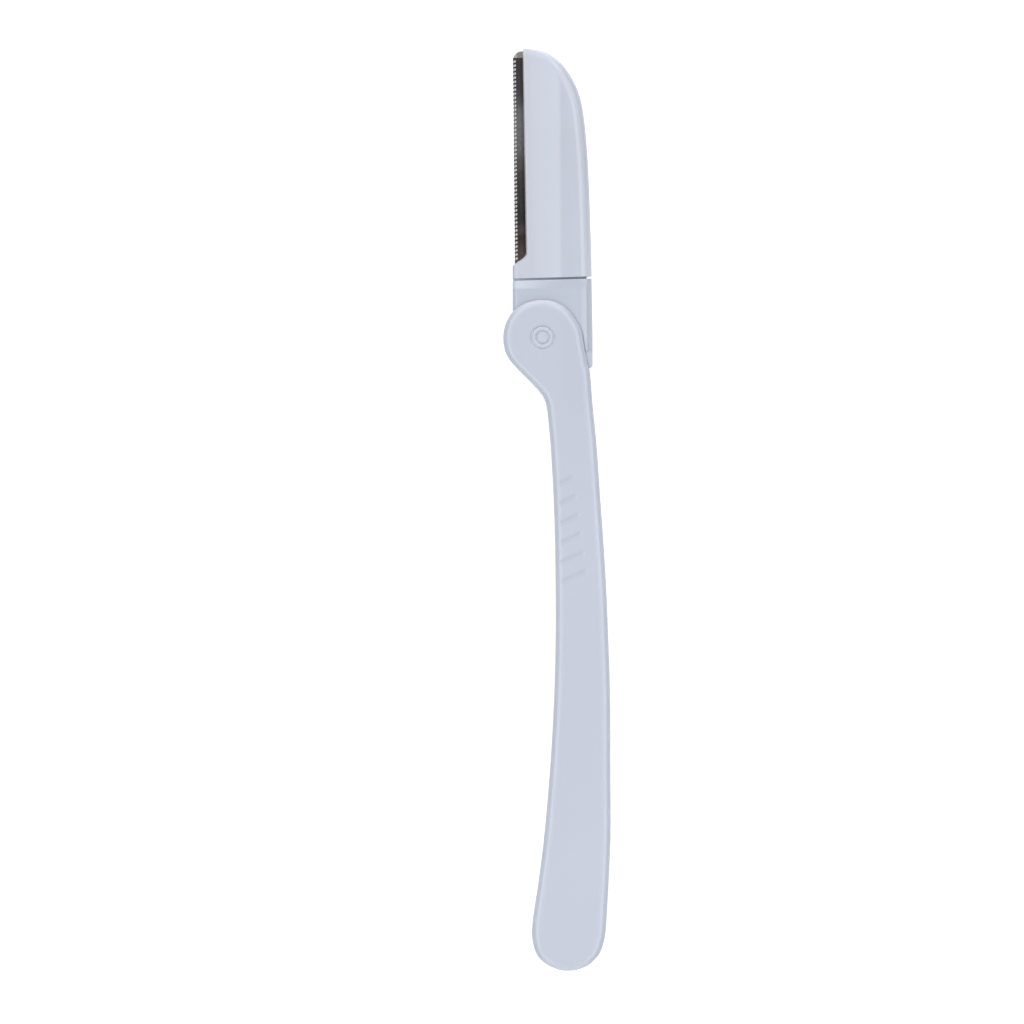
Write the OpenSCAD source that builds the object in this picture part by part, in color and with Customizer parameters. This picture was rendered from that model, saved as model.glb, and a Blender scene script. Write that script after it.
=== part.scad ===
// Folding eyebrow razor, open and lying on the rear face of its handle
// Sizes are in millimetres, with +Z up from the rest face and +Y toward the blade tip

/* [Handle] */
// Distance from the pivot to the far end of the handle
handle_reach = 103.0; // [80:0.05:130]
// Breadth of the handle where it is widest
handle_breadth = 10.7; // [8:0.05:14]
// Thickness of the handle
handle_thickness = 5.0; // [4.8:0.05:7]
// Radius of the round boss at the pivot
boss_radius = 6.4; // [6:0.05:6.8]
// How far in from the outline the rounded edge reaches
handle_edge_reach = 1.5; // [0.4:0.05:2]
// How deep the rounded edge goes
handle_edge_depth = 0.8; // [0.3:0.05:0.9]
// Distance across from the pivot to the floor of the blade slot
slot_floor_across = 5.1; // [5:0.02:5.4]
// Room between the tip of the folded head and the closed end of the blade slot
slot_end_room = 9.0; // [8:0.1:15]
// Distance down from the pivot to the face that stops the open head
stop_down = 4.95; // [4.8:0.05:5.6]

/* [Grip grooves] */
// Number of grip grooves on each face
groove_count = 6; // [2:1:9]
// Distance between neighbouring grooves
groove_pitch = 3.19; // [2:0.01:4]
// Distance down from the pivot to the first groove
groove_first_down = 23.7; // [18:0.05:30]
// Distance in from the left outline to the near end of a groove
groove_inset = 1.05; // [0.6:0.05:2]
// Length of the first groove
groove_first_length = 2.0; // [1:0.05:3]
// Growth in length from one groove to the next
groove_growth = 0.38; // [0:0.02:0.6]
// Rise of a groove for each unit across
groove_slope = 0.46; // [0:0.02:0.8]
// Width of a groove
groove_width = 1.1; // [0.4:0.02:1.4]
// Depth of a groove
groove_depth = 0.1; // [0.04:0.02:0.5]

/* [Rivet] */
// Outside diameter of the hollow rivet
sleeve_diameter = 3.7; // [3:0.05:4.4]
// Diameter of the rivet core
pin_diameter = 2.1; // [1.4:0.05:2.4]
// Width of the bevels at the ends of the rivet
rivet_bevel = 0.17; // [0.05:0.01:0.25]
// Width of the bevel round the rivet hole in the handle
bore_bevel = 0.18; // [0.05:0.01:0.25]
// Depth of the bevels round the rivet
bevel_depth = 0.26; // [0.1:0.01:0.4]
// How far the rivet ends sit below the faces of the handle
rivet_recess = 0.04; // [0:0.01:0.1]

/* [Hinge block] */
// Thickness of the part of the block that turns between the cheeks
tang_thickness = 2.8; // [2.4:0.02:3]
// Gap between the block and each cheek
tang_gap = 0.1; // [0.05:0.01:0.15]
// Running gap all round between the block and the rivet
bore_gap = 0.05; // [0.02:0.01:0.08]
// Gap between the round heel of the block and the floor of the blade slot
heel_gap = 0.1; // [0.05:0.01:0.2]
// Distance across from the pivot to the right side of the block
block_right = 8.13; // [7.8:0.01:8.3]
// Distance the right side of the block moves in on its way up to the seam
block_inset = 0.16; // [0:0.01:0.3]
// Distance down from the pivot to the lower end of the thick rim
rim_down = 2.3; // [1.5:0.05:3]
// Height of the thick rim above the level floor
rim_rise = 0.13; // [0.06:0.01:0.2]
// Gap between the thick rim and the handle's outline
rim_gap = 0.12; // [0.1:0.01:0.3]
// Length over which the level floor blends into the seam
blend_length = 1.45; // [0.8:0.05:2]
// How far in the rounded left edge of the block reaches
block_edge_reach = 0.85; // [0.4:0.05:1.2]
// How deep the rounded left edge of the block goes
block_edge_depth = 0.5; // [0.2:0.02:0.8]

/* [Head] */
// Height from the top of the boss to the seam between the block and the blade holder
seam_above_boss = 3.17; // [3:0.01:3.6]
// Length of the head from the seam to its tip
head_length = 37.41; // [34:0.01:38]
// Rise of the seam from the left side of the head to the right side
seam_rise = 0.36; // [0:0.02:0.5]
// Width of the open seam
seam_gap = 0.34; // [0.15:0.01:0.4]
// Thickness of the head between the crease and the right edge
head_thickness = 3.2; // [3:0.05:4.4]
// Thickness of the head at its blade side
edge_thickness = 0.98; // [0.8:0.02:1.1]
// Distance across from the pivot to the blade side of the head
head_left = 4.84; // [4.6:0.01:4.85]
// Distance across from the pivot to the crease
crease_across = 2.95; // [2.6:0.05:3.4]
// Distance across from the pivot to the right side of the head
head_right = 8.0; // [7.6:0.02:8.2]
// How far in from the outline the rounded edge of the head reaches
head_edge_reach = 2.25; // [1.2:0.05:2.4]
// How deep the rounded edge of the head goes
head_edge_depth = 1.05; // [0.6:0.05:1.3]
// How deep the rounded left edge of the blade holder goes
foot_edge_depth = 0.2; // [0.1:0.02:0.25]
// Distance across from the pivot to the foot of the wall beside the blade window
window_across = 3.0; // [2.9:0.02:3.2]
// How much narrower the window is at the tip of the head than at its foot
window_narrow = 0.24; // [0:0.02:0.4]
// Slant of the wall beside the blade window
window_slant = 0.2; // [0.1:0.02:0.4]
// Height from the seam to the foot of the blade window
window_rise = 2.37; // [2:0.01:2.6]
// Size of the curved corner at the foot of the window
window_corner = 1.98; // [1.2:0.02:3]

/* [Tongue] */
// Length of the tongue that plugs into the blade holder
tongue_length = 6.0; // [4:0.1:7]
// Thickness of the tongue
tongue_thickness = 1.4; // [1.2:0.02:1.7]
// Distance across from the pivot to the near side of the tongue
tongue_near = 1.1; // [0.9:0.05:1.8]
// Distance across from the pivot to the far side of the tongue
tongue_far = 5.3; // [4.5:0.05:6]
// Gap all round the tongue
tongue_gap = 0.06; // [0.04:0.01:0.1]
// Thickness of the web beside the tongue at its thin left end
web_thickness = 0.26; // [0.2:0.02:0.4]
// Distance from each side of the head to the end of the web
web_inset = 0.1; // [0.05:0.01:0.3]

/* [Blade] */
// Thickness of the blade
blade_thickness = 0.3; // [0.2:0.01:0.36]
// Distance across from the pivot to the hidden back of the blade
blade_back_across = 1.2; // [1:0.05:1.8]
// Distance from the tip of the head down to the top of the blade
blade_top_drop = 0.45; // [0.4:0.01:0.8]
// Radius of the rounded corner of the blade
blade_corner = 1.3; // [0.6:0.05:1.4]
// Width of the ground bevel
bevel_width = 0.6; // [0.3:0.02:0.9]
// Width of the steeper honed edge
hone_width = 0.12; // [0.06:0.01:0.2]
// Thickness of the blade where the honed edge meets the bevel
hone_thickness = 0.18; // [0.1:0.01:0.25]
// Thickness left at the cutting edge
edge_land = 0.06; // [0.04:0.01:0.1]
// Diameter of the pegs that pass through the blade
peg_diameter = 0.9; // [0.6:0.02:1]
// Lean of the blade and its guard across the window, in degrees
blade_lean = 0.55; // [0:0.01:0.8]

/* [Guard] */
// Thickness of the sheet the guard is folded from
sheet_thickness = 0.08; // [0.05:0.01:0.2]
// Distance from the tip of the head down to the top of the guard
guard_top_drop = 1.5; // [1.4:0.02:3]
// Distance between neighbouring notches
notch_pitch = 0.654; // [0.6:0.002:0.75]
// Width of a notch
notch_width = 0.4; // [0.2:0.01:0.5]
// Depth of a notch from the fold
notch_depth = 0.48; // [0.3:0.01:0.65]
// Rise of a notch from its mouth to its inner end
notch_rise = 0.08; // [0:0.01:0.2]
// Width of the mouth of a notch at the fold
notch_mouth = 0.28; // [0.15:0.01:0.4]

/* [Frame] */
// Distance across from the pivot to the rest point on the handle
rest_point_across = 6.0; // [5:0.1:7]
// Distance down from the pivot to the rest point on the handle
rest_point_down = 48.0; // [40:0.5:60]

/* [Hidden] */
round_sides = 96;
edge_steps = 5;
boss_steps = 10;
arc_steps = 30;
strip_steps = 4;
floor_steps = 7;
blend_steps = 5;
boss_high_angle = 84;
boss_low_angle = 39;
boss_top_share = 0.966;
clear_low_angle = 40;
rim_start_share = 0.51;
web_right_share = 0.72;
blade_foot_share = 0.3;
peg_shares = [0.14, 0.5, 0.86];
mid = handle_thickness / 2;
slot_width = tang_thickness + 2 * tang_gap;
clear_depth = handle_thickness;
seam_height = boss_radius + seam_above_boss;
head_height = seam_height + head_length;
slot_end_down = head_height + slot_end_room;
heel_radius = slot_floor_across - heel_gap;
holder_base = seam_height + seam_gap / 2;
block_top = seam_height - seam_gap / 2;
floor_top = block_top - blend_length;
window_foot = seam_height + window_rise;
wall_foot = window_foot + window_corner;
guard_top = head_height - guard_top_drop;
blade_top = head_height - blade_top_drop;
blade_edge_across = head_left - sheet_thickness;
bevel_tilt = (head_thickness - edge_thickness) / 2 / (head_left + crease_across);
sleeve_length = handle_thickness - 2 * rivet_recess;
seam_slope = seam_rise / (head_left + head_right);
notch_count = floor((guard_top - window_foot) / notch_pitch) - 1;
guard_half = blade_thickness / 2 + sheet_thickness;

// Handle outline below the boss: down, left and right, as shares of the boss radius
neck_shares = [
    [-0.562, -0.827, 0.776], [-0.469, -0.883, 0.838], [-0.375, -0.927, 0.898],
    [-0.250, -0.968, 0.963], [-0.125, -0.992, 1.003], [0.000, -1.000, 1.028],
    [0.152, -0.992, 1.049], [0.294, -0.966, 1.070], [0.419, -0.923, 1.098],
    [0.544, -0.853, 1.121], [0.669, -0.759, 1.146], [0.794, -0.642, 1.194],
    [0.919, -0.517, 1.210], [1.044, -0.391, 1.220], [1.169, -0.266, 1.230],
    [1.294, -0.145, 1.240], [1.403, -0.052, 1.248], [1.497, 0.016, 1.255],
    [1.591, 0.061, 1.262], [1.684, 0.092, 1.270], [1.794, 0.116, 1.280],
    [1.919, 0.131, 1.292], [2.075, 0.147, 1.308], [2.312, 0.170, 1.333]
];

// Handle outline below the neck: down as a share of the reach, left and right of the breadth
body_shares = [
    [0.1621, 0.118, 0.816], [0.1932, 0.138, 0.838], [0.2252, 0.156, 0.859],
    [0.2563, 0.171, 0.879], [0.2883, 0.181, 0.902], [0.3194, 0.190, 0.923],
    [0.3515, 0.195, 0.944], [0.3835, 0.198, 0.962], [0.4146, 0.201, 0.977],
    [0.4466, 0.202, 0.990], [0.4777, 0.199, 1.001], [0.5097, 0.194, 1.013],
    [0.5408, 0.186, 1.022], [0.5728, 0.175, 1.028], [0.6039, 0.161, 1.031],
    [0.6359, 0.144, 1.031], [0.6670, 0.125, 1.031], [0.6990, 0.102, 1.032],
    [0.7301, 0.077, 1.034], [0.7621, 0.050, 1.036], [0.7937, 0.019, 1.032],
    [0.8252, -0.017, 1.021], [0.8568, -0.057, 1.007], [0.8883, -0.103, 0.990],
    [0.9204, -0.150, 0.973], [0.9364, -0.161, 0.963], [0.9461, -0.159, 0.949],
    [0.9549, -0.148, 0.930], [0.9646, -0.126, 0.904], [0.9738, -0.091, 0.862],
    [0.9791, -0.058, 0.825], [0.9845, -0.006, 0.773], [0.9888, 0.047, 0.731],
    [0.9927, 0.110, 0.673], [0.9961, 0.185, 0.598], [0.9985, 0.254, 0.525],
    [0.9998, 0.322, 0.449]
];

// Top and right outline of the head: across and up from the seam, as shares of right side and length
head_shares = [
    [-0.3250, 1.0000], [-0.2437, 0.9979], [-0.1625, 0.9963], [-0.0813, 0.9933],
    [0.0000, 0.9890], [0.0688, 0.9840], [0.1445, 0.9757], [0.2333, 0.9623],
    [0.3175, 0.9479], [0.3869, 0.9342], [0.4487, 0.9198], [0.5000, 0.9059],
    [0.5437, 0.8920], [0.5813, 0.8781], [0.6162, 0.8647], [0.6488, 0.8508],
    [0.6800, 0.8364], [0.7113, 0.8204], [0.7388, 0.8043], [0.7625, 0.7883],
    [0.7812, 0.7728], [0.7975, 0.7567], [0.8150, 0.7364], [0.8300, 0.7150],
    [0.8462, 0.6883], [0.8631, 0.6562], [0.8806, 0.6188], [0.8975, 0.5760],
    [0.9137, 0.5279], [0.9294, 0.4691], [0.9444, 0.3996], [0.9587, 0.3194],
    [0.9719, 0.2339], [0.9838, 0.1484], [0.9938, 0.0682], [1.0000, 0.0000]
];

// Foot of the blade window: across from the blade side and up, as shares of its width and corner
foot_shares = [
    [-0.18, -0.15], [0.00, 0.00], [0.25, 0.21], [0.36, 0.26], [0.55, 0.37],
    [0.72, 0.49], [0.86, 0.63], [0.96, 0.78], [1.00, 1.00]
];

// Rim profile of the block: across as a share from floor to side, height as a share of its rise
rim_shares = [
    [0.00, 0.00], [0.20, 0.02], [0.28, 0.08], [0.36, 0.24], [0.44, 0.46], [0.52, 0.73],
    [0.60, 1.00], [0.65, 0.85], [0.70, 0.25], [0.77, -0.90], [0.85, -2.60],
    [0.93, -4.60], [1.00, -6.60]
];

function smooth(t) = t * t * (3 - 2 * t);
function lerp(a, b, t) = a + (b - a) * t;
function seam_at(x) = seam_slope * (x - (head_right - head_left) / 2);
function wedge_half(x) =
    min(head_thickness / 2, edge_thickness / 2 + bevel_tilt * (x + head_left));
function left_drop(x) = edge_drop(max(0, (x + head_left) / block_edge_reach));
function edge_drop(t) = t >= 1 ? 0 : 1 - sqrt(1 - (1 - t) * (1 - t));

// A pair of points a set distance in from an outline that runs clockwise
function inset_point(p, i, d) =
    let (n = len(p))
    let (t = p[(i + 1) % n] - p[(i + n - 1) % n])
    p[i] - d * [-t.y, t.x] / norm(t);

// Joins stacked rings whose first half runs down the right and second half up the left
module ring_solid(rings) {
    n = len(rings[0]);
    half = n / 2;
    top = (len(rings) - 1) * n;
    sides = [
        for (k = [0 : len(rings) - 2])
            for (i = [0 : n - 1])
                let (a = k * n + i)
                let (b = k * n + (i + 1) % n)
                each [[a, b, b + n], [a, b + n, a + n]]
    ];
    caps = [
        for (i = [0 : half - 2])
            let (a = n - 1 - i)
            each [
                [top + i, top + i + 1, top + a - 1],
                [top + i, top + a - 1, top + a],
                [i, a, a - 1],
                [i, a - 1, i + 1]
            ]
    ];
    polyhedron(points = [for (r = rings) each r], faces = concat(sides, caps), convexity = 6);
}

// Raises a flat outline into a plate centred on the middle plane
module plate(points, thickness) {
    translate([0, 0, mid - thickness / 2])
        linear_extrude(height = thickness)
            polygon(points);
}

// Runs a section given across and up through the thickness along the length of the head
module section_bar(points, from, to) {
    translate([0, to, mid])
        rotate([90, 0, 0])
            linear_extrude(height = to - from)
                polygon(points);
}

module at_pivot() {
    translate([-rest_point_across, rest_point_down, 0])
        children();
}

// Handle
function boss_pair(k) =
    let (t = k / (boss_steps - 1))
    let (a = lerp(boss_high_angle, boss_low_angle, t))
    let (share = lerp(boss_top_share, 1, smooth(t)))
    let (up = share * sin(a))
    boss_radius * [up, -share * cos(a), sqrt(boss_top_share * boss_top_share - up * up)];
handle_stations = concat(
    [for (k = [0 : boss_steps - 1]) boss_pair(k)],
    [for (s = neck_shares) [-s[0], s[1], s[2]] * boss_radius],
    [for (s = body_shares) [-s[0] * handle_reach, s[1] * handle_breadth, s[2] * handle_breadth]]
);
handle_last = len(handle_stations) - 1;
handle_outline = concat(
    [for (s = handle_stations) [s[2], s[0]]],
    [for (k = [0 : handle_last]) [handle_stations[handle_last - k][1], handle_stations[handle_last - k][0]]]
);
handle_half_levels = [
    for (k = [0 : edge_steps])
        let (a = 90 * k / edge_steps)
        [handle_edge_reach * (1 - sin(a)), handle_edge_depth * (1 - cos(a))]
];
handle_levels = concat(
    handle_half_levels,
    [
        for (k = [0 : edge_steps])
            let (l = handle_half_levels[edge_steps - k])
            [l[0], handle_thickness - l[1]]
    ]
);

module handle_blank() {
    ring_solid([
        for (l = handle_levels) [
            for (i = [0 : len(handle_outline) - 1])
                let (p = inset_point(handle_outline, i, l[0]))
                [p.x, p.y, l[1]]
        ]
    ]);
}

module slot_tool() {
    corner = slot_width / 2;
    plate([
        [-boss_radius - clear_depth, boss_radius + clear_depth],
        [block_right + clear_depth, boss_radius + clear_depth],
        [block_right + clear_depth, -stop_down],
        [slot_floor_across, -stop_down],
        [slot_floor_across, corner - slot_end_down],
        [slot_floor_across - corner, -slot_end_down],
        [-boss_radius - clear_depth, -slot_end_down]
    ], slot_width);
}

// One shallow pointed groove, cut into the face at the given height
module groove_tool(k, height) {
    down = groove_first_down + k * groove_pitch;
    start = lookup(down / handle_reach, [for (s = body_shares) [s[0], s[1]]]);
    reach = groove_first_length + k * groove_growth;
    turn = atan(groove_slope);
    half = groove_width / 2;
    tip = [[0, -groove_depth], [half, 0], [0, groove_depth]];
    translate([start * handle_breadth + groove_inset, -down, height])
        rotate([0, 0, turn]) {
            rotate([90, 0, 90])
                linear_extrude(height = reach)
                    polygon(concat(tip, [[-half, 0]]));
            for (x = [0, reach])
                translate([x, 0, 0])
                    rotate_extrude($fn = round_sides)
                        polygon(tip);
        }
}

// Rivet hole with a bevel at each face
module bore_tool() {
    bore = sleeve_diameter / 2;
    wide = bore + 2 * bore_bevel;
    top = handle_thickness;
    rotate_extrude($fn = round_sides)
        polygon([
            [0, -bevel_depth], [wide, -bevel_depth], [bore, bevel_depth],
            [bore, top - bevel_depth], [wide, top + bevel_depth], [0, top + bevel_depth]
        ]);
}

module handle() {
    color([0.80, 0.82, 0.88])
        at_pivot()
            difference() {
                handle_blank();
                slot_tool();
                bore_tool();
                for (k = [0 : groove_count - 1]) {
                    groove_tool(k, handle_thickness);
                    groove_tool(k, 0);
                }
            }
}

// Rivet
module pivot_sleeve() {
    outer = sleeve_diameter / 2;
    inner = pin_diameter / 2;
    top = sleeve_length;
    color([0.80, 0.82, 0.88])
        at_pivot()
            translate([0, 0, rivet_recess])
                rotate_extrude($fn = round_sides)
                    polygon([
                        [inner + rivet_bevel, 0], [outer - rivet_bevel, 0], [outer, bevel_depth],
                        [outer, top - bevel_depth], [outer - rivet_bevel, top],
                        [inner + rivet_bevel, top], [inner, top - bevel_depth],
                        [inner, bevel_depth]
                    ]);
}

module pivot_pin() {
    outer = pin_diameter / 2;
    top = sleeve_length;
    color([0.80, 0.82, 0.88])
        at_pivot()
            translate([0, 0, rivet_recess])
                rotate_extrude($fn = round_sides)
                    polygon([
                        [0, 0], [outer - rivet_bevel, 0], [outer, bevel_depth],
                        [outer, top - bevel_depth], [outer - rivet_bevel, top], [0, top]
                    ]);
}

// Hinge block
rim_start = lerp(crease_across, block_right, rim_start_share);
block_corner = (block_right - slot_floor_across) / 6;

function right_at(y) = block_right - block_inset * max(0, y) / block_top;

// Columns across the block at a height: across, and half the thickness of its floor and rim there
function strip_columns() = [
    for (k = [0 : strip_steps])
        [
            block_edge_reach * k / strip_steps - head_left,
            tang_thickness / 2 - block_edge_depth * edge_drop(k / strip_steps)
        ]
];
function floor_columns() = [
    for (k = [1 : floor_steps])
        [lerp(block_edge_reach - head_left, rim_start, k / (floor_steps + 1)), tang_thickness / 2]
];
function rim_columns(y) = [
    for (s = rim_shares)
        [lerp(rim_start, right_at(y), s[0]), tang_thickness / 2 + rim_rise * s[1]]
];
function block_columns(y) = concat(strip_columns(), floor_columns(), rim_columns(y));

// Half the thickness of the blade holder at a distance across
function head_half(x) =
    let (t = (head_right - x) / head_edge_reach)
    min(
        wedge_half(x) - foot_edge_depth * left_drop(x),
        head_thickness / 2 - head_edge_depth * edge_drop(max(0, t))
    );

// A closed ring across the block from columns, level at a height
function level_ring(columns, y) =
    let (n = len(columns))
    concat(
        [for (c = columns) [c.x, y, mid + c.y]],
        [for (k = [n - 1 : -1 : 0]) [columns[k].x, y, mid - columns[k].y]]
    );

module tang() {
    plate(concat(
        [
            [block_edge_reach - head_left, floor_top], [block_edge_reach - head_left, 0],
            [-head_left, 0]
        ],
        [for (a = [190 : 10 : 260]) heel_radius * [cos(a), sin(a)]],
        [
            [0, -heel_radius], [slot_floor_across - block_corner, -heel_radius],
            [slot_floor_across, -stop_down], [block_right - block_corner / 2, -stop_down],
            [block_right - block_corner / 8, block_corner / 2 - stop_down],
            [block_right, block_corner - stop_down], [block_right, -rim_down],
            [rim_start, -rim_down], [rim_start, floor_top]
        ]
    ), tang_thickness);
}

// Rounded left edge of the block above the heel
module edge_strip() {
    c = strip_columns();
    section_bar(concat(
        [for (p = c) p],
        [for (k = [strip_steps : -1 : 0]) [c[k].x, -c[k].y]]
    ), 0, floor_top);
}

module rim() {
    ring_solid([
        for (y = [floor_top, 0, -rim_down])
            level_ring(rim_columns(y), y)
    ]);
}

// Blends the level floor of the block into the wedge section of the head
module seam_blend() {
    ring_solid([
        for (j = [0 : blend_steps])
            let (t = 1 - j / blend_steps)
            let (c = block_columns(lerp(floor_top, block_top, t)))
            let (n = len(c))
            [
                for (i = [0 : 2 * n - 1])
                    let (p = i < n ? c[i] : c[2 * n - 1 - i])
                    let (up = i < n ? 1 : -1)
                    let (z = up * lerp(p.y, head_half(p.x), t))
                    [p.x, lerp(floor_top, block_top + seam_at(p.x), t), mid + z]
            ]
    ]);
}

module tongue() {
    tip = holder_base + tongue_length;
    lead = tongue_thickness / 3;
    plate([
        [tongue_near, block_top - seam_gap], [tongue_near, tip - lead],
        [tongue_near + lead, tip], [tongue_far - lead, tip],
        [tongue_far, tip - lead], [tongue_far, block_top - seam_gap]
    ], tongue_thickness);
}

// Thin web across the open seam, on which the blade holder stands
module seam_web() {
    left = -head_left + web_inset;
    right = lerp(tongue_far, head_right - web_inset, web_right_share);
    thin = web_thickness / 2;
    thick = tongue_thickness / 2;
    base = block_top - seam_gap;
    intersection() {
        section_bar([
            [left, thin], [left + block_edge_reach, 2 * thin], [tongue_near, thick],
            [tongue_far, thick], [right, 2 * thin],
            [right, -2 * thin], [tongue_far, -thick], [tongue_near, -thick],
            [left + block_edge_reach, -2 * thin], [left, -thin]
        ], base, holder_base + seam_rise);
        plate([
            [left, base], [left, holder_base + seam_at(left)],
            [right, holder_base + seam_at(right)], [right, base]
        ], tang_thickness);
    }
}

// Space taken by the cheeks of the handle, outside the turning part of the block
module cheek_space() {
    clear = boss_radius + rim_gap;
    arc = [
        for (k = [0 : arc_steps])
            let (a = lerp(180, clear_low_angle, k / arc_steps))
            clear * [cos(a), sin(a)]
    ];
    side = [
        for (s = neck_shares)
            if (s[0] * boss_radius < stop_down) [s[2] * boss_radius + rim_gap, -s[0] * boss_radius]
    ];
    for (z = [mid + tang_thickness / 2, mid - tang_thickness / 2 - clear_depth])
        translate([0, 0, z])
            linear_extrude(height = clear_depth)
                polygon(concat(arc, side, [[0, -boss_radius], [-clear, -boss_radius]]));
}

module hinge_block() {
    color([0.80, 0.82, 0.88])
        at_pivot() {
            difference() {
                union() {
                    tang();
                    edge_strip();
                    rim();
                    seam_blend();
                    tongue();
                    seam_web();
                }
                cheek_space();
                cylinder(
                    d = sleeve_diameter + 2 * bore_gap, h = handle_thickness, $fn = round_sides
                );
            }
        }
}

// Blade holder
head_outline = [for (s = head_shares) [s[0] * head_right, seam_height + s[1] * head_length]];
head_last = len(head_outline) - 1;

function head_inset(i, d) =
    let (a = head_outline[max(0, i - 1)])
    let (b = head_outline[min(head_last, i + 1)])
    let (t = b - a)
    i == head_last ? [head_right - d, holder_base + seam_at(head_right - d)]
    : head_outline[i] - d * [-t.y, t.x] / norm(t);

head_half_levels = [
    for (k = [0 : edge_steps + 1])
        let (a = 90 * k / (edge_steps + 1))
        [head_edge_reach * (1 - sin(a)), head_edge_depth * (1 - cos(a))]
];
head_levels = concat(
    head_half_levels,
    [
        for (k = [0 : edge_steps + 1])
            let (l = head_half_levels[edge_steps + 1 - k])
            [l[0], head_thickness - l[1]]
    ]
);

module head_blank() {
    base = mid - head_thickness / 2;
    ring_solid([
        for (l = head_levels)
            concat(
                [for (i = [0 : head_last]) let (p = head_inset(i, l[0])) [p.x, p.y, base + l[1]]],
                [
                    for (k = [0 : head_last])
                        let (p = head_inset(head_last - k, l[0]))
                        [
                            -head_left,
                            k == 0 ? holder_base + seam_at(-head_left) : p.y,
                            base + l[1]
                        ]
                ]
            )
    ]);
}

module wedge_space() {
    far = head_right + clear_depth;
    strip = [
        for (k = [0 : strip_steps])
            let (x = block_edge_reach * k / strip_steps - head_left)
            [x, wedge_half(x) - foot_edge_depth * left_drop(x)]
    ];
    section_bar(concat(
        strip,
        [
            [crease_across, head_thickness / 2], [far, head_thickness / 2],
            [far, -head_thickness / 2], [crease_across, -head_thickness / 2]
        ],
        [for (k = [strip_steps : -1 : 0]) [strip[k].x, -strip[k].y]]
    ), 0, head_height + clear_depth);
}

// Turns the upright blade and window by the lean about the top left corner of the head
module leaning() {
    translate([-head_left, head_height, 0])
        rotate([0, 0, blade_lean])
            translate([head_left, -head_height, 0])
                children();
}

// Place of the window wall across at a height
function wall_at(y) =
    -window_across - window_narrow * (y - wall_foot) / (head_height - wall_foot);

// Right side and foot of the window, from the top down
foot_path = concat(
    [[wall_at(head_height + clear_depth), head_height + clear_depth]],
    [
        for (k = [len(foot_shares) - 1 : -1 : 0])
            let (s = foot_shares[k])
            [lerp(-head_left, -window_across, s[0]), window_foot + s[1] * window_corner]
    ]
);
foot_last = len(foot_path) - 1;

function foot_inset(i, d) =
    let (t = foot_path[min(foot_last, i + 1)] - foot_path[max(0, i - 1)])
    foot_path[i] - d * [-t.y, t.x] / norm(t);

module window_tool() {
    far = head_left + clear_depth;
    face = head_thickness / 4;
    levels = [
        [-clear_depth, window_slant], [-face, window_slant], [-guard_half, 0],
        [guard_half, 0], [face, window_slant], [clear_depth, window_slant]
    ];
    ring_solid([
        for (l = levels)
            concat(
                [for (i = [0 : foot_last]) let (p = foot_inset(i, -l[1])) [p.x, p.y, mid + l[0]]],
                [for (i = [foot_last : -1 : 0]) [-far, foot_inset(i, -l[1]).y, mid + l[0]]]
            )
    ]);
}

blade_foot = window_foot + window_corner / 4;
peg_across = (window_across + blade_back_across) / 2;
peg_heights = [for (s = peg_shares) lerp(blade_foot, blade_top, s)];

module pegs(thickness) {
    for (h = peg_heights)
        translate([-peg_across, h, mid - thickness / 2])
            cylinder(d = peg_diameter, h = thickness, $fn = round_sides);
}

module blade_shape() {
    arc = [
        for (a = [90 : 10 : 180])
            [-blade_edge_across + blade_corner, blade_top - blade_corner]
            + blade_corner * [cos(a), sin(a)]
    ];
    plate(concat(
        [[-blade_back_across, blade_foot], [-blade_back_across, blade_top]],
        arc,
        [
            [-blade_edge_across, blade_foot],
            [lerp(-blade_edge_across, -blade_back_across, blade_foot_share), blade_foot]
        ]
    ), blade_thickness);
}

module holder_socket() {
    tip = holder_base + tongue_length + tongue_gap;
    plate([
        [tongue_near - tongue_gap, 0], [tongue_near - tongue_gap, tip],
        [tongue_far + tongue_gap, tip], [tongue_far + tongue_gap, 0]
    ], tongue_thickness + 2 * tongue_gap);
}

module blade_holder() {
    color([0.82, 0.83, 0.88])
        at_pivot() {
            difference() {
                intersection() {
                    head_blank();
                    wedge_space();
                }
                leaning()
                    window_tool();
                holder_socket();
                leaning()
                    difference() {
                        blade_shape();
                        pegs(handle_thickness);
                    }
            }
        }
}

// Blade
module blade() {
    left = -blade_edge_across;
    edge = edge_land / 2;
    hone = hone_thickness / 2;
    half = blade_thickness / 2;
    color([0.45, 0.45, 0.46])
        at_pivot()
            leaning()
                difference() {
                    intersection() {
                        blade_shape();
                        section_bar([
                            [left, edge], [left + hone_width, hone], [left + bevel_width, half],
                            [0, half], [0, -half],
                            [left + bevel_width, -half], [left + hone_width, -hone], [left, -edge]
                        ], 0, head_height);
                    }
                    pegs(handle_thickness);
                }
}

// Guard
module guard_section() {
    nose = head_left - guard_half;
    difference() {
        section_bar(concat(
            [for (a = [90 : 15 : 270]) [-nose, 0] + guard_half * [cos(a), sin(a)]],
            [[-window_across, -guard_half], [-window_across, guard_half]]
        ), seam_height, guard_top);
        section_bar([
            [-blade_edge_across, -blade_thickness / 2], [0, -blade_thickness / 2],
            [0, blade_thickness / 2], [-blade_edge_across, blade_thickness / 2]
        ], blade_foot, head_height);
    }
}

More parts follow.
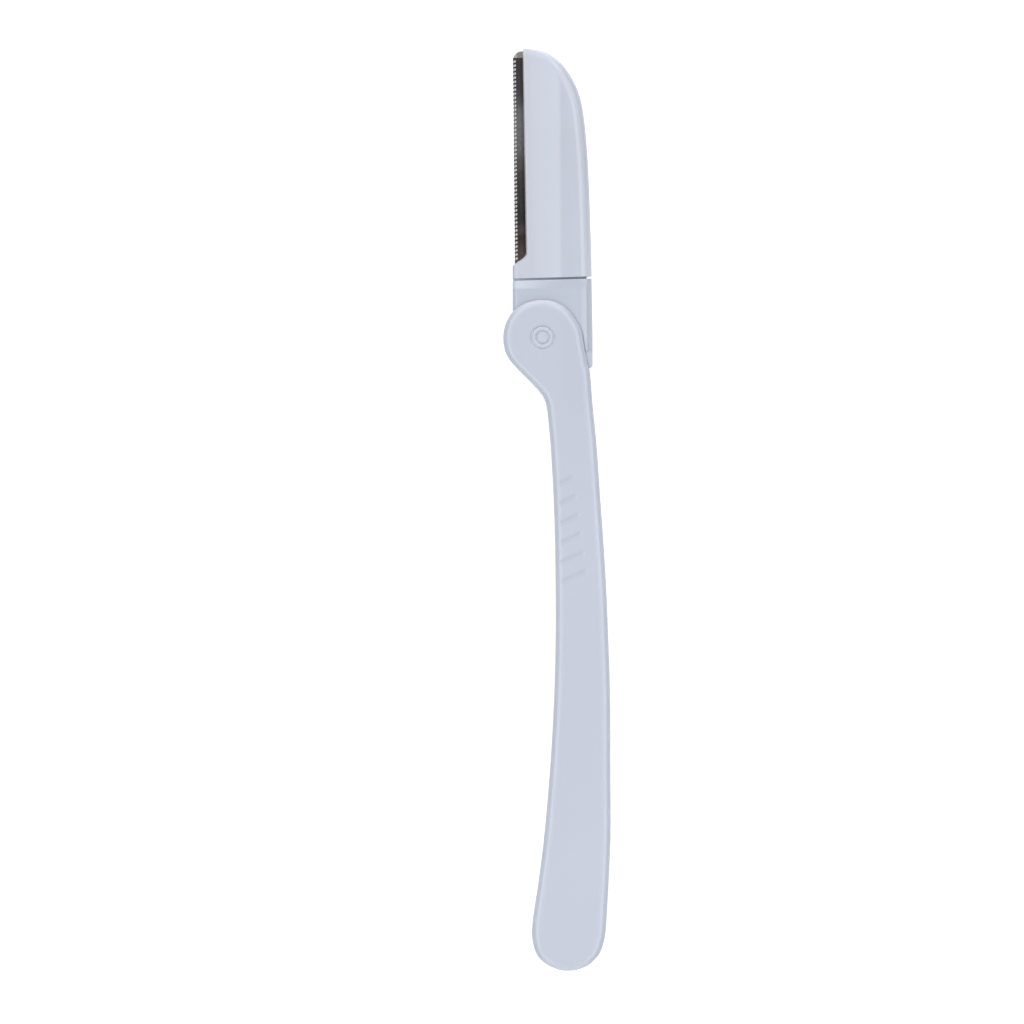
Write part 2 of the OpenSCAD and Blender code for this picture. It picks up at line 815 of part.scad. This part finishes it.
module blade_guard() {
    lead = notch_width / 4;
    half = notch_width / 2;
    mouth = notch_mouth / 2;
    deep = -head_left + notch_depth;
    first = guard_top - notch_pitch;
    notches = [
        for (k = [0 : notch_count - 1])
            let (y = first - k * notch_pitch)
            let (top = y + notch_rise)
            each [
                [-head_left, y + mouth], [-head_left + lead, y + half], [deep - lead, top + half],
                [deep, top + lead], [deep, top - lead],
                [deep - lead, top - half], [-head_left + lead, y - half], [-head_left, y - mouth]
            ]
    ];
    foot = [
        for (s = foot_shares)
            if (s[0] >= 0) [lerp(-head_left, -window_across, s[0]), window_foot + s[1] * window_corner]
    ];
    color([0.35, 0.35, 0.36])
        at_pivot()
            leaning()
                intersection() {
                    guard_section();
                    plate(concat(
                        [[wall_at(guard_top), guard_top], [-head_left, guard_top]], notches, foot
                    ), handle_thickness);
                }
}

handle();
pivot_sleeve();
pivot_pin();
hinge_block();
blade_holder();
blade();
blade_guard();
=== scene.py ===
"""Folding eyebrow razor: materials, floor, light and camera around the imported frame.

The materials place their tones in mm on the open razor: x across and y up from the pivot, z from
the handle's mid-plane.
"""

import math

import bpy
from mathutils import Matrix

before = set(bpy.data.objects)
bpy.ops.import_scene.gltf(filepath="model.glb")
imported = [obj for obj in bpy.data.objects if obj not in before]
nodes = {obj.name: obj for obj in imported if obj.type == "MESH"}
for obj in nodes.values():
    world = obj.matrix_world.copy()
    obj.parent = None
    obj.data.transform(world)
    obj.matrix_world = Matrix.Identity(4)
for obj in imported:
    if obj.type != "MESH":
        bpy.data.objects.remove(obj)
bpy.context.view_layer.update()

MM = 0.001
PIVOT = (-6.0, 48.0, 2.5)  # the pivot in the part's frame, in mm
TIP = 46.98  # height of the head's tip above the pivot


def srgb(r, g, b):
    """Linear RGBA of an 8-bit screen colour."""
    def linear(v):
        v /= 255.0
        return v / 12.92 if v <= 0.04045 else ((v + 0.055) / 1.055) ** 2.4

    return (linear(r), linear(g), linear(b), 1.0)


def new_material(name):
    """A material with a Principled shader alone, its node tree and its shader."""
    mat = bpy.data.materials.new(name)
    mat.use_nodes = True
    tree = mat.node_tree
    tree.nodes.clear()
    out = tree.nodes.new("ShaderNodeOutputMaterial")
    shader = tree.nodes.new("ShaderNodeBsdfPrincipled")
    tree.links.new(shader.outputs[0], out.inputs["Surface"])
    return mat, tree, shader


def arithmetic(tree):
    """A function that adds a Math node to the tree and gives its output socket."""
    def sums(operation, first, second=None, third=None, clamp=False):
        node = tree.nodes.new("ShaderNodeMath")
        node.operation = operation
        node.use_clamp = clamp
        for socket, value in zip(node.inputs, (first, second, third)):
            if isinstance(value, float):
                socket.default_value = value
            elif value is not None:
                tree.links.new(value, socket)
        return node.outputs[0]

    return sums


def object_place(tree):
    """The socket with the place in the object's own coordinates."""
    return tree.nodes.new("ShaderNodeTexCoord").outputs["Object"]


def from_pivot(mat):
    """The material's arithmetic, and sockets with x, y and z in mm from the pivot."""
    tree = mat.node_tree
    sums = arithmetic(tree)
    split = tree.nodes.new("ShaderNodeSeparateXYZ")
    tree.links.new(object_place(tree), split.inputs[0])
    x, y, z = (
        sums("MULTIPLY_ADD", place, 1 / MM, -offset) for place, offset in zip(split.outputs, PIVOT)
    )
    return sums, x, y, z


def radius(sums, across, up):
    """Distance from the middle of two perpendicular places."""
    square = sums("MULTIPLY_ADD", across, across, sums("MULTIPLY", up, up))
    return sums("POWER", square, 0.5)


def right_of(mat, left, lean):
    """Distance in mm to the right of a line that is this far left of the pivot at the tip."""
    sums, x, y, _ = from_pivot(mat)
    return sums("ADD", x, sums("MULTIPLY_ADD", y, lean, left - TIP * lean))


def only_where(sums, mask, place):
    """The place where the mask is 1, and -1 where it is 0."""
    return sums("MULTIPLY_ADD", mask, sums("ADD", place, 1.0), -1.0)


def set_stops(ramp, table):
    """Sets a Color Ramp to a table of places and greys or colours, spread over 0 to 1."""
    stops = ramp.color_ramp.elements
    low, high = table[0][0], table[-1][0]
    while len(stops) < len(table):
        stops.new(0.5)
    for stop, (place, value) in zip(stops, table):
        stop.position = (place - low) / (high - low)
        stop.color = (value, value, value, 1) if isinstance(value, float) else (*value[:3], 1)


def shade(mat, place, table):
    """Multiplies the base colour by a gain that changes with a place; the table holds both."""
    tree = mat.node_tree
    base = next(n for n in tree.nodes if n.type == "BSDF_PRINCIPLED").inputs["Base Color"]
    spread = tree.nodes.new("ShaderNodeMapRange")
    spread.inputs["From Min"].default_value = table[0][0]
    spread.inputs["From Max"].default_value = table[-1][0]
    ramp = tree.nodes.new("ShaderNodeValToRGB")
    set_stops(ramp, table)
    product = tree.nodes.new("ShaderNodeVectorMath")
    product.operation = "MULTIPLY"
    if base.links:
        tree.links.new(base.links[0].from_socket, product.inputs[0])
    else:
        product.inputs[0].default_value = base.default_value[:3]
    tree.links.new(place, spread.inputs["Value"])
    tree.links.new(spread.outputs["Result"], ramp.inputs["Fac"])
    tree.links.new(ramp.outputs["Color"], product.inputs[1])
    tree.links.new(product.outputs[0], base)


def noise(tree, scale, detail, place=None):
    """The value of a noise texture over a place, or over the object's own coordinates."""
    node = tree.nodes.new("ShaderNodeTexNoise")
    node.inputs["Scale"].default_value = scale
    node.inputs["Detail"].default_value = detail
    tree.links.new(place or object_place(tree), node.inputs["Vector"])
    return node.outputs["Fac"]


def plastic(name, colour, roughness, soften):
    """Moulded plastic with faint clouding, fine grain and edges softened over some mm."""
    mat, tree, shader = new_material(name)
    shader.inputs["Base Color"].default_value = colour
    shader.inputs["Roughness"].default_value = roughness
    shader.inputs["IOR"].default_value = 1.54
    shader.inputs["Specular IOR Level"].default_value = 0.7
    shade(mat, noise(tree, scale=90.0, detail=3.0), ((0.0, 0.975), (1.0, 1.02)))
    soft = tree.nodes.new("ShaderNodeBevel")
    soft.samples = 6
    soft.inputs["Radius"].default_value = soften * MM
    grain = tree.nodes.new("ShaderNodeBump")
    grain.inputs["Strength"].default_value = 0.05
    grain.inputs["Distance"].default_value = 0.02 * MM
    tree.links.new(noise(tree, scale=5200.0, detail=2.0), grain.inputs["Height"])
    tree.links.new(soft.outputs["Normal"], grain.inputs["Normal"])
    tree.links.new(grain.outputs["Normal"], shader.inputs["Normal"])
    return mat


def steel(name, colour, roughness):
    """Sheet steel with fine lines across it in its roughness."""
    mat, tree, shader = new_material(name)
    shader.inputs["Base Color"].default_value = colour
    shader.inputs["Metallic"].default_value = 1.0
    stretch = tree.nodes.new("ShaderNodeMapping")
    stretch.inputs["Scale"].default_value = (900, 14000, 900)
    tree.links.new(object_place(tree), stretch.inputs["Vector"])
    spread = tree.nodes.new("ShaderNodeMapRange")
    spread.inputs["To Min"].default_value = roughness * 0.8
    spread.inputs["To Max"].default_value = roughness * 1.25
    lines = noise(tree, scale=1.0, detail=3.0, place=stretch.outputs["Vector"])
    tree.links.new(lines, spread.inputs["Value"])
    tree.links.new(spread.outputs["Result"], shader.inputs["Roughness"])
    return mat


# painted light and shade: the rivet's plastic is set paler than the handle's to lift the shade in
# its rings, and the block's plastic darker to stand in for the shade on its floor
handle_plastic = plastic("handle_plastic", srgb(201, 207, 222), 0.2, 0.24)
rivet_plastic = plastic("rivet_plastic", srgb(205, 211, 226), 0.2, 0.3)
head_plastic = plastic("head_plastic", srgb(200, 205, 219), 0.12, 0.16)
block_plastic = plastic("block_plastic", srgb(194, 201, 215), 0.2, 0.16)
blade_steel = steel("blade_steel", srgb(168, 165, 162), 0.26)
guard_steel = steel("guard_steel", (1.0, 1.0, 1.0, 1.0), 0.14)

# Handle and rivet: painted light and shade round the two rings, by distance from the pivot,
# painted light that makes the handle pale toward its end, by y, and painted shade that darkens
# the boss to its right, by x
PAINTED_RING_LIGHT = (
    (0.00, 1.00), (0.62, 1.00), (0.76, 0.95), (0.86, 0.93), (0.95, (1.06, 1.05, 1.02)),
    (1.03, (1.18, 1.15, 1.08)), (1.11, (1.10, 1.09, 1.04)), (1.19, 1.00), (1.45, 1.01),
    (1.60, 0.98), (1.72, (1.05, 1.03, 1.00)), (1.84, (1.28, 1.25, 1.17)),
    (1.94, (1.13, 1.12, 1.07)), (2.04, 0.98), (2.14, 0.98), (2.30, 1.00),
)
PAINTED_LENGTHWISE_LIGHT = (
    (-104.0, 1.012), (-85.0, 1.012), (-60.0, 1.00), (-22.0, 1.00), (-12.0, 0.99), (7.0, 0.99),
)
BOSS = ((0.0, 1.00), (2.0, 0.995), (4.0, 0.975), (7.0, 0.975))
BOSS_FOOT = -16.0  # the boss's tone starts here and is full one fade further up
BOSS_FADE = 8.0
for mat in (handle_plastic, rivet_plastic):
    sums, x, y, _ = from_pivot(mat)
    shade(mat, radius(sums, x, y), PAINTED_RING_LIGHT)
    shade(mat, y, PAINTED_LENGTHWISE_LIGHT)
    at_boss = sums("MULTIPLY_ADD", y, 1 / BOSS_FADE, -BOSS_FOOT / BOSS_FADE, clamp=True)
    shade(mat, sums("MULTIPLY", x, at_boss), BOSS)

# Grip grooves: painted shade, slightly darker along the hollow of each, on both faces of the
# handle
GROOVES = 6
GROOVE_START = (2.74, -23.7)  # near end of the first groove
GROOVE_TURN = math.atan(0.46)
GROOVE_PITCH = 2.93  # square to the grooves
GROOVE_DROP = 0.148  # how far the first hollow's middle lies below its start
GROOVE_HALF = 0.62  # half the breadth of the tone
GROOVE_LENGTH = 2.34
NEAR_LEAN, FAR_LEAN = 0.027, 0.142  # how the rows of near and far ends lean
END_FADE = 3.3  # steepness of the tone at the ends, for each mm
FACE_ABOVE = 2.1  # the faces lie above this z, and the slot's walls below
sums, x, y, z = from_pivot(handle_plastic)
x = sums("SUBTRACT", x, GROOVE_START[0])
y = sums("SUBTRACT", y, GROOVE_START[1])
off = sums("MULTIPLY_ADD", x, -math.sin(GROOVE_TURN), sums("MULTIPLY", y, math.cos(GROOVE_TURN)))
row = sums("MULTIPLY_ADD", off, -1 / GROOVE_PITCH, -GROOVE_DROP / GROOVE_PITCH)
near = sums("DIVIDE", sums("PINGPONG", row, 0.5), GROOVE_HALF / GROOVE_PITCH)
hollow = sums("SUBTRACT", 1.0, sums("MULTIPLY", near, near), clamp=True)
from_near_end = sums("MULTIPLY_ADD", y, NEAR_LEAN, x)
from_far_end = sums("MULTIPLY_ADD", y, FAR_LEAN, x)
painted_groove_shade = hollow
for limit in (
    sums("COMPARE", row, (GROOVES - 1) / 2, GROOVES / 2),
    sums("MULTIPLY_ADD", from_near_end, END_FADE, 0.5, clamp=True),
    sums("MULTIPLY_ADD", from_far_end, -END_FADE, 0.5 + GROOVE_LENGTH * END_FADE, clamp=True),
    sums("GREATER_THAN", sums("ABSOLUTE", z), FACE_ABOVE),
):
    painted_groove_shade = sums("MULTIPLY", painted_groove_shade, limit)
# painted shade along the grooves' hollows
shade(handle_plastic, painted_groove_shade, ((0.0, 1.00), (1.0, 0.91)))

# Head: painted light on a panel that brightens toward the crease, and painted shade just beyond
# it, by distance from the wall beside the blade window
WALL_LINE = (3.24, 0.01686)
PAINTED_PANEL_LIGHT = (
    (0.00, 0.97), (0.85, 0.95), (1.30, 0.97), (1.80, 0.99), (3.00, 1.01), (4.90, 1.03),
    (5.50, 1.03), (5.85, 1.00), (6.30, 0.98), (8.00, 1.00),
)
shade(head_plastic, right_of(head_plastic, *WALL_LINE), PAINTED_PANEL_LIGHT)

# Head: the wall itself is painted pale and warm as a painted reflection, above the foot of the
# window
WINDOW_FOOT = 13.9
WALL_PAINTED_REFLECTION = (1.36, 1.28, 1.12)
WALL = (
    (-1.00, 1.00), (-0.35, 1.00), (-0.30, WALL_PAINTED_REFLECTION), (0.18, WALL_PAINTED_REFLECTION),
    (0.28, (1.06, 1.03, 1.0)), (0.50, 1.00),
)
sums, x, y, _ = from_pivot(head_plastic)
beside_window = sums("GREATER_THAN", y, WINDOW_FOOT)
# painted reflection on the wall beside the window
shade(head_plastic, only_where(sums, beside_window, right_of(head_plastic, *WALL_LINE)), WALL)

# Head: painted light, slightly paler at both ends, by y, with a painted highlight round its tip,
# on an ellipse
PAINTED_END_LIGHT = ((6.0, 1.012), (17.0, 1.010), (24.0, 1.000), (32.0, 1.000), (37.0, 1.018), (47.0, 1.022))
RIM = (
    (0.85, 1.00), (0.905, 1.00), (0.94, 1.07), (0.965, 1.09), (0.985, 1.13), (1.00, 1.20),
    (1.05, 1.20),
)
RIM_MIDDLE = (-3.2, 34.0)
RIM_RADII = (11.4, 12.93)
shade(head_plastic, y, PAINTED_END_LIGHT)
across, up = (
    sums("MULTIPLY_ADD", place, 1 / reach, -middle / reach)
    for place, middle, reach in zip((x, y), RIM_MIDDLE, RIM_RADII)
)
# painted highlight round the tip
shade(head_plastic, radius(sums, across, sums("MAXIMUM", up, 0.0)), RIM)

# Guard: a painted reflection in tones from its foot to its top, a painted shade line beside the
# wall, and mottling
GUARD_PAINTED_REFLECTION = (
    (12.9, srgb(118, 103, 102)), (14.6, srgb(108, 95, 94)), (16.0, srgb(86, 75, 74)),
    (17.5, srgb(108, 100, 102)), (19.1, srgb(79, 77, 78)), (22.4, srgb(89, 86, 88)),
    (25.6, srgb(92, 89, 91)), (28.9, srgb(122, 119, 121)), (30.9, srgb(147, 146, 148)),
    (35.4, srgb(152, 152, 154)), (37.0, srgb(142, 142, 143)), (38.6, srgb(114, 114, 115)),
    (40.3, srgb(98, 95, 98)), (46.0, srgb(94, 88, 92)),
)
GUARD_PAINTED_SHADE = ((-0.62, 1.00), (-0.32, 0.70), (0.00, 0.60))
MOTTLING = ((0.2, 0.82), (0.8, 1.28))
shade(guard_steel, from_pivot(guard_steel)[2], GUARD_PAINTED_REFLECTION)
# painted shade on the guard beside the wall
shade(guard_steel, right_of(guard_steel, *WALL_LINE), GUARD_PAINTED_SHADE)
shade(guard_steel, noise(guard_steel.node_tree, scale=1600.0, detail=2.0), MOTTLING)

# Blade: a painted highlight on the bevel by the edge, where the guard's notches show it, below the
# guard's top
EDGE_LINE = (4.76, 0.0096)
GUARD_TOP = 45.2
EDGE_PAINTED_HIGHLIGHT = (1.38, 1.44, 1.50)
EDGE = ((-1.0, 1.0), (-0.9, 1.0), (-0.1, EDGE_PAINTED_HIGHLIGHT), (0.45, EDGE_PAINTED_HIGHLIGHT), (0.65, 1.0), (1.0, 1.0))
sums, x, y, _ = from_pivot(blade_steel)
under_guard = sums("LESS_THAN", y, GUARD_TOP)
# painted highlight on the blade's bevel
shade(blade_steel, only_where(sums, under_guard, right_of(blade_steel, *EDGE_LINE)), EDGE)

looks = {
    "handle": handle_plastic,
    "pivot_sleeve": rivet_plastic,
    "pivot_pin": rivet_plastic,
    "hinge_block": block_plastic,
    "blade_holder": head_plastic,
    "blade": blade_steel,
    "blade_guard": guard_steel,
}
for name, material in looks.items():
    nodes[name].data.materials.clear()
    nodes[name].data.materials.append(material)

# Floor: pale, with a glow that makes it white to the camera and in reflections
GLOW = 0.62
bpy.ops.mesh.primitive_plane_add(size=6.0, location=(0, 0, -0.02 * MM))
floor = bpy.context.object
floor.name = "floor"
floor_white, tree, shader = new_material("floor_white")
shader.inputs["Base Color"].default_value = (0.7, 0.7, 0.7, 1.0)
shader.inputs["Roughness"].default_value = 0.8
shader.inputs["Specular IOR Level"].default_value = 0.1
shader.inputs["Emission Color"].default_value = (1, 1, 1, 1)
sums = arithmetic(tree)
path = tree.nodes.new("ShaderNodeLightPath")
seen = sums("MAXIMUM", path.outputs["Is Camera Ray"], path.outputs["Is Glossy Ray"])
tree.links.new(sums("MULTIPLY", seen, GLOW), shader.inputs["Emission Strength"])
floor.data.materials.append(floor_white)

# Light: a pale tent with a dark opening straight above, brighter beyond the blade tip
TENT = (
    (0.00, 0.04), (0.40, 0.05), (0.60, 0.10), (0.70, 0.19), (0.78, 0.60), (0.85, 1.58),
    (0.89, 1.92), (0.92, 1.92), (0.945, 1.44), (0.968, 1.12), (0.984, 0.51), (1.00, 0.42),
)
OPENING_LENGTH = 0.82  # how far the opening is drawn out along Y
TIP_SIDE = 0.2  # how much brighter the tent is toward the tip
world = bpy.data.worlds.new("studio")
bpy.context.scene.world = world
world.use_nodes = True
tree = world.node_tree
tree.nodes.clear()
sums = arithmetic(tree)
out = tree.nodes.new("ShaderNodeOutputWorld")
sky = tree.nodes.new("ShaderNodeBackground")
coord = tree.nodes.new("ShaderNodeTexCoord")
split = tree.nodes.new("ShaderNodeSeparateXYZ")
tree.links.new(coord.outputs["Generated"], split.inputs[0])
_, along, height = split.outputs
square = sums("MULTIPLY", height, height)
square = sums("MULTIPLY_ADD", sums("MULTIPLY", along, along), OPENING_LENGTH, square)
ramp = tree.nodes.new("ShaderNodeValToRGB")
set_stops(ramp, TENT)
tree.links.new(sums("POWER", square, 0.5), ramp.inputs["Fac"])
above_floor = sums("GREATER_THAN", height, 0.0)
lean = sums("MULTIPLY", sums("MULTIPLY_ADD", along, TIP_SIDE, 1.0), above_floor)
tent = tree.nodes.new("ShaderNodeVectorMath")
tent.operation = "SCALE"
tree.links.new(ramp.outputs["Color"], tent.inputs[0])
tree.links.new(lean, tent.inputs["Scale"])
tree.links.new(tent.outputs[0], sky.inputs["Color"])
tree.links.new(sky.outputs[0], out.inputs["Surface"])

# Camera straight above, with the photograph's frame
FRAME_PIXELS = 1024
PIVOT_PIXEL = (542.5, 337.5)
PIXEL = MM / 6.147
DISTANCE = 6.0
SENSOR = 36.0
across = PIVOT[0] * MM + (FRAME_PIXELS / 2 - PIVOT_PIXEL[0]) * PIXEL
up = PIVOT[1] * MM + (PIVOT_PIXEL[1] - FRAME_PIXELS / 2) * PIXEL
lens = bpy.data.cameras.new("camera")
lens.sensor_width = SENSOR
lens.lens = SENSOR * (DISTANCE - PIVOT[2] * MM) / (FRAME_PIXELS * PIXEL)
lens.clip_start = 0.05
camera = bpy.data.objects.new("camera", lens)
camera.location = (across, up, DISTANCE)
bpy.context.collection.objects.link(camera)
bpy.context.scene.camera = camera
bpy.context.scene.view_settings.view_transform = "Standard"
